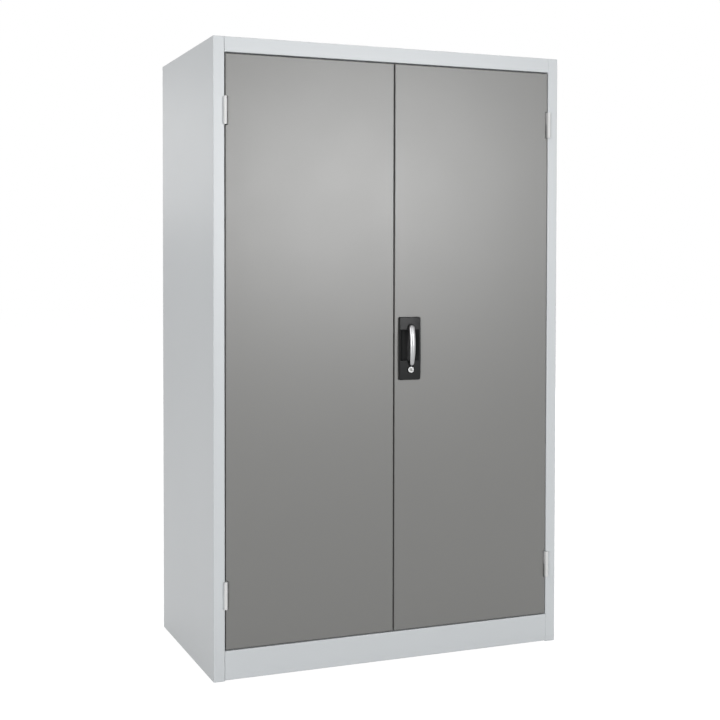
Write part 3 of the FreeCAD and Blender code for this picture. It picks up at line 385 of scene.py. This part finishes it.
pull_low, pull_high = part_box("drawer_pulls")
for number in (1, 2, 3):
    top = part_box(f"drawer_{number}_front")[1][2] + PULL_TALL
    middle = top - CARD_DROP
    card = bmesh.new()
    low = (-CARD_LONG / 2, pull_low[1] - CARD_THICK, middle - CARD_TALL / 2)
    high = (CARD_LONG / 2, pull_low[1], middle + CARD_TALL / 2)
    soft_block(card, low, high, CARD_THICK / 4)
    card = solid(f"drawer_{number}_card", card)
    card.data.materials.append(card_paper)
    cover = bmesh.new()
    low = (-CARD_LONG / 2 - COVER_MARGIN, pull_low[1] - CARD_THICK - COVER_THICK, low[2] - COVER_MARGIN / 2)
    high = (CARD_LONG / 2 + COVER_MARGIN, pull_low[1] - CARD_THICK, high[2] + COVER_MARGIN / 2)
    soft_block(cover, low, high, COVER_THICK / 3)
    cover = solid(f"drawer_{number}_card_cover", cover)
    cover.data.materials.append(clear_strip)
    caps = bmesh.new()
    for near in (pull_low[0] - CAP_THICK, pull_high[0]):
        far = (near + CAP_THICK, pull_high[1], top)
        soft_block(caps, (near, pull_low[1], top - PULL_TALL), far, CAP_ROUND / 2)
    caps = solid(f"drawer_{number}_pull_caps", caps)
    caps.data.materials.append(cap_plastic)
    for piece, finish in ((card, "pull_aluminium"), (cover, "pull_aluminium"), (caps, "black_plastic")):
        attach(piece, "root")


# Doors: two folded pans of 1.2 mm sheet, flush in the frame, with a hat section down each middle.
# They are powder-coated a mid grey, a little glossier than the carcass.
DOOR_GREY = (0.153, 0.153, 0.147)
DOOR_GLOSS = 0.335
DOOR_SHINE = 0.66

door_coat = powder_coated("mid_grey_powder_coat", DOOR_GREY, DOOR_GLOSS, DOOR_SHINE)
dress(["door_left", "door_right", "door_left_stiffener", "door_right_stiffener"], door_coat)
dress(["door_left_cover_strip"], door_coat)


# Hinges: rolled steel barrels in front of the gap, sprayed light grey after welding.
# The steel pins stay bare and show only as bright ends.
HINGE_GREY = (0.655, 0.658, 0.655)

hinge_coat = powder_coated("hinge_paint", HINGE_GREY, 0.36, 0.5, edge=0.0006)
halves = [(side, level) for side in ("left", "right") for level in ("lower", "upper")]
for side, level in halves:
    dress([f"hinge_{side}_{level}_frame_half", f"hinge_{side}_{level}_door_half"], hinge_coat)
dress(["hinge_pins"], bright_zinc)


# Buffers, magnets and strikes: soft black pads on the stop flanges, white catches, zinc plates.
BLACK_RUBBER = (0.018, 0.018, 0.019)
CATCH_WHITE = (0.72, 0.72, 0.70)

moulded_skin, given = new_group(
    "moulded_skin",
    [("Plastic", "Color", (0.1, 0.1, 0.1, 1)), ("Gloss", "Float", 0.4), ("Grain", "Float", 1500.0), ("Edge", "Float", 0.0006)],
    [("Colour", "Color"), ("Roughness", "Float"), ("Height", "Float"), ("Normal", "Vector")],
)
spot = place(moulded_skin, "TexCoord").outputs["Object"]
pit = place(moulded_skin, "TexNoise", {"Vector": spot, "Scale": given["Grain"], "Detail": 3}).outputs["Fac"]
flow = scaled_noise(moulded_skin, 30, 3)
shade = spread(moulded_skin, flow, 0.94, 1.06)
tone = place(moulded_skin, "VectorMath", {0: given["Plastic"], "Scale": shade}, operation="SCALE").outputs[0]
swing = spread(moulded_skin, pit, -0.04, 0.04)
rough = place(moulded_skin, "Math", {0: given["Gloss"], 1: swing}, operation="ADD").outputs[0]
soft = place(moulded_skin, "Bevel", {"Radius": given["Edge"]}, samples=6).outputs[0]
ends = moulded_skin.nodes.new("NodeGroupOutput")
for label, value in (("Colour", tone), ("Roughness", rough), ("Height", pit), ("Normal", soft)):
    moulded_skin.links.new(value, ends.inputs[label])


def moulded(name, colour, gloss, pit_deep, shader=()):
    """Moulded plastic or rubber of one colour."""
    made, tree = blank_material(name)
    skin = place(tree, "Group", {"Plastic": (*colour, 1), "Gloss": gloss}, node_tree=moulded_skin).outputs
    close_material(tree, skin, pit_deep, dict(shader))
    return made


dress(["door_buffers"], moulded("black_rubber", BLACK_RUBBER, 0.75, 0.00006))
dress(["magnet_catches"], moulded("white_catch_case", CATCH_WHITE, 0.4, 0.00002))
dress(["catch_strikes"], bright_zinc)


# Handle housing: moulded in black glass-filled nylon and clamped through the door skin.
# Its face is slightly pillowed, with a scoop for the fingers and a sunk ring round lever and lock.
BLACK_NYLON = (0.008, 0.0083, 0.0088)
NYLON_GLOSS = 0.34
NYLON_SHINE = 0.17
HANDLE_LINE = 0.054
LEVER_HEIGHT = 1.064
LOCK_HEIGHT = 0.931
HOUSING_CORNER = 0.005
HOUSING_EDGE = 0.0022
CROWN_TALL = 0.0026
CROWN_WIDE = 0.0013
SCOOP_LOW = 0.960
SCOOP_HIGH = 1.058
SCOOP_HALF = 0.034
SCOOP_DEEP = 0.0165
SCOOP_SHIFT = -0.0015
SCOOP_LIP = 0.0012
SCOOP_WALL = 0.00015
SUNK_RADIUS = 0.0118
SUNK_DEEP = 0.0010
BOSS_RADIUS = 0.0088
BODY_HALF = 0.0335
BODY_MARGIN = 0.010


def stations(low, high, step, sharp=()):
    """Places along a length, closer together at each sharp change."""
    count = round((high - low) / step)
    places = [low + (high - low) * turn / count for turn in range(count + 1)]
    for mark in sharp:
        for gap in (0, SCOOP_WALL, 0.0004, 0.0008, 0.0012, 0.002):
            places += [mark - gap, mark + gap]
    kept = [low]
    for spot in sorted(places):
        if kept[-1] + 0.00008 < spot <= high:
            kept.append(spot)
    return kept


def rounded_edge(radius, inside):
    """How far a rounded edge has fallen at a distance inside its outline."""
    reach = min(radius, max(0.0, radius - inside))
    return radius - math.sqrt(radius**2 - reach**2)


def relief(name, middle, columns, rows, half, front, back):
    """Closed solid between a front and a back surface, inside an outline across Y."""
    shell = bmesh.new()
    rims = []
    for surface in (front, back):
        skin = []
        for z in rows:
            spots = [(share * half(z), z) for share in columns]
            skin.append([shell.verts.new((middle + x, surface(x, z), z)) for x, z in spots])
        for lower, upper in zip(skin, skin[1:]):
            for step in range(len(columns) - 1):
                shell.faces.new((lower[step], lower[step + 1], upper[step + 1], upper[step]))
        right = [line[-1] for line in skin[1:-1]]
        left = [line[0] for line in reversed(skin[1:-1])]
        rims.append(skin[0] + right + skin[-1][::-1] + left)
    near, far = rims
    for step in range(len(near)):
        shell.faces.new((near[step - 1], near[step], far[step], far[step - 1]))
    return solid(name, shell)


housing_low, housing_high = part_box("handle_housing")
housing_face = housing_low[1]
door_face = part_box("door_right")[0][1]
half_wide = (housing_high[0] - housing_low[0]) / 2
half_tall = (housing_high[2] - housing_low[2]) / 2
housing_x = (housing_high[0] + housing_low[0]) / 2
housing_z = (housing_high[2] + housing_low[2]) / 2
scoop_radius = (SCOOP_HALF**2 + SCOOP_DEEP**2) / (2 * SCOOP_DEEP)


def housing_half(z):
    """Half width of the rounded outline at a height."""
    above = min(HOUSING_CORNER, max(0.0, abs(z - housing_z) - half_tall + HOUSING_CORNER))
    return half_wide - HOUSING_CORNER + math.sqrt(HOUSING_CORNER**2 - above**2)


def inside_housing(x, z):
    """Distance inside the rounded outline."""
    aside = abs(x) - half_wide + HOUSING_CORNER
    above = abs(z - housing_z) - half_tall + HOUSING_CORNER
    if aside > 0 and above > 0:
        return HOUSING_CORNER - math.hypot(aside, above)
    return HOUSING_CORNER - max(aside, above)


def scoop_fall(x, z):
    """Depth of the scoop below the face: an arc across, steep walls above and below."""
    aside = x - SCOOP_SHIFT
    if abs(aside) >= SCOOP_HALF:
        return 0.0
    full = math.sqrt(scoop_radius**2 - aside**2) - scoop_radius + SCOOP_DEEP
    within = min(z - SCOOP_LOW, SCOOP_HIGH - z)
    if within <= 0:
        return min(full, rounded_edge(SCOOP_LIP, -within))
    return max(min(full, SCOOP_LIP), full - rounded_edge(SCOOP_LIP, within - SCOOP_WALL))


def housing_front(x, z):
    """Pillowed face with its scoop, and a boss in a sunk ring under lever and lock."""
    crown = CROWN_TALL * ((z - housing_z) / half_tall) ** 2 + CROWN_WIDE * (x / half_wide) ** 2
    fall = crown + scoop_fall(x, z)
    if not SCOOP_LOW - SCOOP_LIP < z < SCOOP_HIGH + SCOOP_LIP:
        for height in (LEVER_HEIGHT, LOCK_HEIGHT):
            away = math.hypot(housing_x + x - HANDLE_LINE, z - height)
            if away < BOSS_RADIUS:
                fall = 0.0
            elif away < SUNK_RADIUS:
                fall += SUNK_DEEP
    return housing_face + fall + rounded_edge(HOUSING_EDGE, inside_housing(x, z))


def housing_back(x, z):
    """Rim on the door skin, and the body that goes through it."""
    through = abs(x) < BODY_HALF and abs(z - housing_z) < half_tall - BODY_MARGIN
    return housing_high[1] if through else door_face


columns = stations(-half_wide, half_wide, 0.0012, (-half_wide, -BODY_HALF, BODY_HALF, half_wide))
body_ends = [housing_z - half_tall + BODY_MARGIN, housing_z + half_tall - BODY_MARGIN]
sharp = (housing_low[2], *body_ends, SCOOP_LOW, SCOOP_HIGH, housing_high[2])
rows = stations(housing_low[2], housing_high[2], 0.0014, sharp)
shares = [x / half_wide for x in columns]
housing = relief("housing_moulding", housing_x, shares, rows, housing_half, housing_front, housing_back)
black_nylon = moulded("black_nylon", BLACK_NYLON, NYLON_GLOSS, 0.00003, {"Specular IOR Level": NYLON_SHINE})
housing.data.materials.append(black_nylon)
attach(housing, "door_right")
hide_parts("handle_housing")
dress(["rod_guides"], black_nylon)


# Lock works inside the right door: frame, screws, spindle, rotor, rods and tongue, all zinc-plated.
dress(["handle_frame", "handle_screws", "handle_spindle", "handle_rotor"], bright_zinc)
dress(["lock_rod_upper", "lock_rod_lower", "lock_tongue"], bright_zinc)


# Lever: a zinc casting bowed out over the scoop, round at its head and tip, satin chromed.
# It turns on the spindle and clears the housing by a hair.
CHROME = (0.37, 0.37, 0.375)
CHROME_GLOSS = 0.34
LEVER_TIP = 0.9445
LEVER_HEAD_HALF = 0.0095
LEVER_BOW_HALF = 0.0098
LEVER_TIP_HALF = 0.007
LEVER_BOW_HEIGHT = 1.008
LEVER_DOME = 0.014
LEVER_EDGE = 0.0022
LEVER_BACK_EDGE = 0.0012
LEVER_FOOT = 1.055
HEAD_REACH = 0.0215
BOW_REACH = 0.030
TIP_REACH = 0.021
BOW_THICK = 0.0075
TIP_BACK_REACH = 0.0145
LEVER_SEAT = 0.0004

tip_height = LEVER_TIP + LEVER_TIP_HALF
head_top = (door_face - HEAD_REACH, LEVER_HEIGHT + LEVER_HEAD_HALF)
bow_front = (door_face - BOW_REACH, LEVER_BOW_HEIGHT)
tip_front = (door_face - TIP_REACH, LEVER_TIP)
lever_rest = housing_face - LEVER_SEAT
foot = (lever_rest, LEVER_FOOT)
bow_back = (door_face - BOW_REACH + BOW_THICK, LEVER_BOW_HEIGHT)
tip_back = (door_face - TIP_BACK_REACH, LEVER_TIP)


def on_arc(upper, crown, lower, z):
    """Depth at a height on the arc through three points of the side view."""
    first, second = Vector(upper) - Vector(crown), Vector(lower) - Vector(crown)
    twice = 2 * (first.x * second.y - first.y * second.x)
    along = (second.y * first.length_squared - first.y * second.length_squared) / twice
    above = (first.x * second.length_squared - second.x * first.length_squared) / twice
    radius = math.hypot(along, above)
    return crown[0] + along - math.sqrt(radius**2 - (z - crown[1] - above) ** 2)


def lever_half(z):
    """Half width of the lever: round head, slight swell, narrow round tip."""
    if z > LEVER_HEIGHT:
        return math.sqrt(LEVER_HEAD_HALF**2 - (z - LEVER_HEIGHT) ** 2)
    if z < tip_height:
        return math.sqrt(LEVER_TIP_HALF**2 - (tip_height - z) ** 2)
    upper = z > LEVER_BOW_HEIGHT
    end, half = (LEVER_HEIGHT, LEVER_HEAD_HALF) if upper else (tip_height, LEVER_TIP_HALF)
    share = (z - LEVER_BOW_HEIGHT) / (end - LEVER_BOW_HEIGHT)
    return LEVER_BOW_HALF + (half - LEVER_BOW_HALF) * share**2


def off_axis(x, z):
    """Distance from the lever's middle line, round both its ends."""
    return math.hypot(x, max(0.0, z - LEVER_HEIGHT, tip_height - z))


def inside_lever(x, z):
    """Distance inside the lever's outline."""
    across = lever_half(min(max(z, tip_height), LEVER_HEIGHT))
    return across - off_axis(x, z)


def lever_front(x, z):
    """Domed and rounded front of the bow."""
    dome = LEVER_DOME - math.sqrt(LEVER_DOME**2 - off_axis(x, z) ** 2)
    line = on_arc(head_top, bow_front, tip_front, z)
    return line + dome + rounded_edge(LEVER_EDGE, inside_lever(x, z))


def lever_back(x, z):
    """Flat foot on the housing, and a hollow back below it."""
    if z >= LEVER_FOOT:
        return lever_rest
    return on_arc(foot, bow_back, tip_back, z) - rounded_edge(LEVER_BACK_EDGE, inside_lever(x, z))


ends = [math.sin(math.radians(angle)) for angle in (85, 78, 70, 60, 48, 34, 18)]
rows = [tip_height - LEVER_TIP_HALF * turn for turn in ends]
rows += stations(tip_height, LEVER_HEIGHT, 0.003)
rows += [LEVER_HEIGHT + LEVER_HEAD_HALF * turn for turn in reversed(ends)]
shares = [math.sin(math.pi * (step / 28 - 0.5)) for step in range(29)]
lever = relief("lever_casting", HANDLE_LINE, shares, rows, lever_half, lever_front, lever_back)

satin_skin, given = new_group(
    "satin_skin",
    [("Metal", "Color", (0.6, 0.6, 0.6, 1)), ("Gloss", "Float", 0.3)],
    [("Colour", "Color"), ("Roughness", "Float"), ("Height", "Float"), ("Normal", "Vector")],
)
streak = scaled_noise(satin_skin, 2500, 2, (1, 1, 0.02))
shade = spread(satin_skin, streak, 0.96, 1.04)
tone = place(satin_skin, "VectorMath", {0: given["Metal"], "Scale": shade}, operation="SCALE").outputs[0]
swing = spread(satin_skin, streak, -0.05, 0.05)
rough = place(satin_skin, "Math", {0: given["Gloss"], 1: swing}, operation="ADD").outputs[0]
soft = place(satin_skin, "Bevel", {"Radius": 0.0006}, samples=6).outputs[0]
ends = satin_skin.nodes.new("NodeGroupOutput")
for label, value in (("Colour", tone), ("Roughness", rough), ("Height", streak), ("Normal", soft)):
    satin_skin.links.new(value, ends.inputs[label])



def satin(name, metal):
    """Brushed and plated metal of one tone."""
    made, tree = blank_material(name)
    skin = place(tree, "Group", {"Metal": (*metal, 1), "Gloss": CHROME_GLOSS}, node_tree=satin_skin).outputs
    close_material(tree, skin, 0.00001, {"Metallic": 1.0})
    return made


satin_chrome = satin("satin_chrome", CHROME)
lever.data.materials.append(satin_chrome)
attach(lever, "handle")
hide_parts("handle_lever")


# Lock: a cylinder with a bright ring on the housing, and the plug with its keyway inside it.
# Both are turned brass; the ring is chromed like the lever, the plug plated a darker plain nickel.
NICKEL = (0.20, 0.20, 0.195)
KEY_SLOT_WIDE = 0.002
KEY_SLOT_TALL = 0.008
KEYWAY_SHADE_SUNK = 0.0004
KEYWAY_SHADE_THICK = 0.002

dress(["lock_cylinder"], satin_chrome)
dress(["lock_plug"], satin("plain_nickel", NICKEL))

# Keyway: a near-black metal block sits just inside the slot, as painted shade for the dark depth of the keyway.
keyway_shade_paint, tree = blank_material("keyway_black_shade")
mottle = scaled_noise(tree, 900, 3)
black = spread(tree, mottle, 0.02, 0.03)
black = place(tree, "CombineColor", {0: black, 1: black, 2: black}).outputs[0]
black = {"Base Color": black, "Metallic": 1.0, "Roughness": spread(tree, mottle, 0.4, 0.5)}
black = place(tree, "BsdfPrincipled", black)
place(tree, "OutputMaterial", {"Surface": black.outputs[0]})

plug_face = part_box("lock_plug")[0][1]
shade_block = bmesh.new()
low = (HANDLE_LINE - KEY_SLOT_WIDE / 2, plug_face + KEYWAY_SHADE_SUNK, LOCK_HEIGHT - KEY_SLOT_TALL / 2)
high = (HANDLE_LINE + KEY_SLOT_WIDE / 2, low[1] + KEYWAY_SHADE_THICK, LOCK_HEIGHT + KEY_SLOT_TALL / 2)
soft_block(shade_block, low, high, KEYWAY_SHADE_SUNK)
shade_block = solid("keyway_shade_block", shade_block)
shade_block.data.materials.append(keyway_shade_paint)
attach(shade_block, "lock_plug")


# Bounds of the dressed cupboard, without the floor.
low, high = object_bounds()
